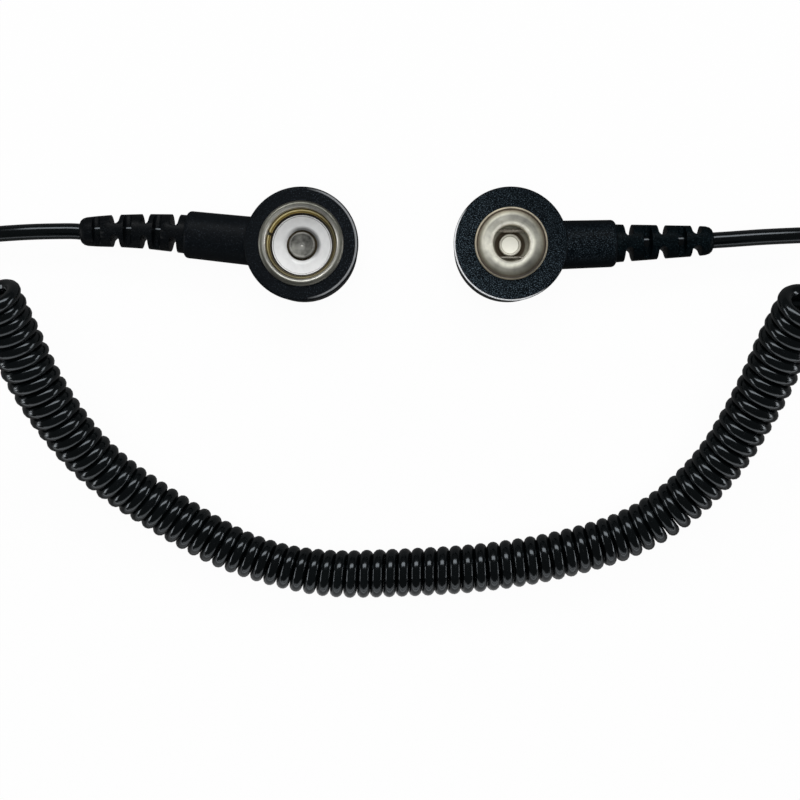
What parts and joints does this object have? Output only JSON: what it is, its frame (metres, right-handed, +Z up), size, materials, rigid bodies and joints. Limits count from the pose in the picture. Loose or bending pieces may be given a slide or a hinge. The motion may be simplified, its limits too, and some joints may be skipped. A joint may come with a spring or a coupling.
{
  "type": "esd wrist strap",
  "caption": "Coiled grounding cord of an ESD wrist strap: a curly cord with a moulded snap-socket head, strain relief and safety resistor at each end.",
  "frame": {"origin": "on the table under the two heads, midway between the tips of their strain reliefs", "axes": "+X from the ground head to the wrist head, +Y away from the curly cord, +Z up out of the sockets"},
  "size_m": [0.2, 0.0615, 0.0276],
  "materials": {
    "head_plastic": "fine-textured black moulding",
    "relief_pvc": "satin black soft PVC",
    "cord_pvc": "glossy black PVC jacket",
    "nickel": "nickel-plated pressed brass",
    "spring_brass": "bright brass wire",
    "spring_steel": "bright spring wire",
    "plate_tin": "pale matte plated disc",
    "rivet_nickel": "plated tubular rivet",
    "terminal_brass": "tinned brass terminal",
    "resistor_body": "lacquered resistor body",
    "tinned_wire": "tinned copper wire",
    "copper": "bare copper strands"
  },
  "bodies": {
    "cord": {"curly_cord": "cord_pvc", "ground_lead": "cord_pvc", "wrist_lead": "cord_pvc"},
    "ground_head": {"ground_bare_wire": "copper", "ground_crimp_sleeve": "tinned_wire", "ground_housing_back": "head_plastic", "ground_housing_front": "head_plastic", "ground_resistor": "resistor_body", "ground_resistor_leads": "tinned_wire", "ground_snap_plate": "plate_tin", "ground_snap_rivet": "rivet_nickel", "ground_snap_shell": "nickel", "ground_strain_relief": "relief_pvc", "ground_terminal": "terminal_brass", "ground_wire_tail": "cord_pvc"},
    "ground_spring": {"ground_snap_spring": "spring_brass"},
    "wrist_head": {"wrist_bare_wire": "copper", "wrist_crimp_sleeve": "tinned_wire", "wrist_housing_back": "head_plastic", "wrist_housing_front": "head_plastic", "wrist_resistor": "resistor_body", "wrist_resistor_leads": "tinned_wire", "wrist_snap_base": "nickel", "wrist_snap_cap": "nickel", "wrist_snap_rivet": "rivet_nickel", "wrist_snap_spring": "spring_steel", "wrist_strain_relief": "relief_pvc", "wrist_terminal": "terminal_brass", "wrist_wire_tail": "cord_pvc"}
  },
  "joints": [
    {"name": "ground_head_flex", "type": "hinge", "parent": "cord", "child": "ground_head", "pos_m": [-0.03782, 0.00229, 0.004], "axis": [0, 0, 1], "range_deg": [-25, 25], "stiffness_Nm_per_rad": 0.03, "deforming": ["ground_strain_relief", "ground_wire_tail"]},
    {"name": "wrist_head_flex", "type": "hinge", "parent": "cord", "child": "wrist_head", "pos_m": [0.03995, 0.00068, 0.004], "axis": [0, 0, 1], "range_deg": [-25, 25], "stiffness_Nm_per_rad": 0.03, "deforming": ["wrist_strain_relief", "wrist_wire_tail"]},
    {"name": "ground_spring_turn", "type": "hinge", "parent": "ground_head", "child": "ground_spring", "pos_m": [-0.01414, 0, 0.0068], "axis": [0, 0, 1], "continuous": true}
  ]
}
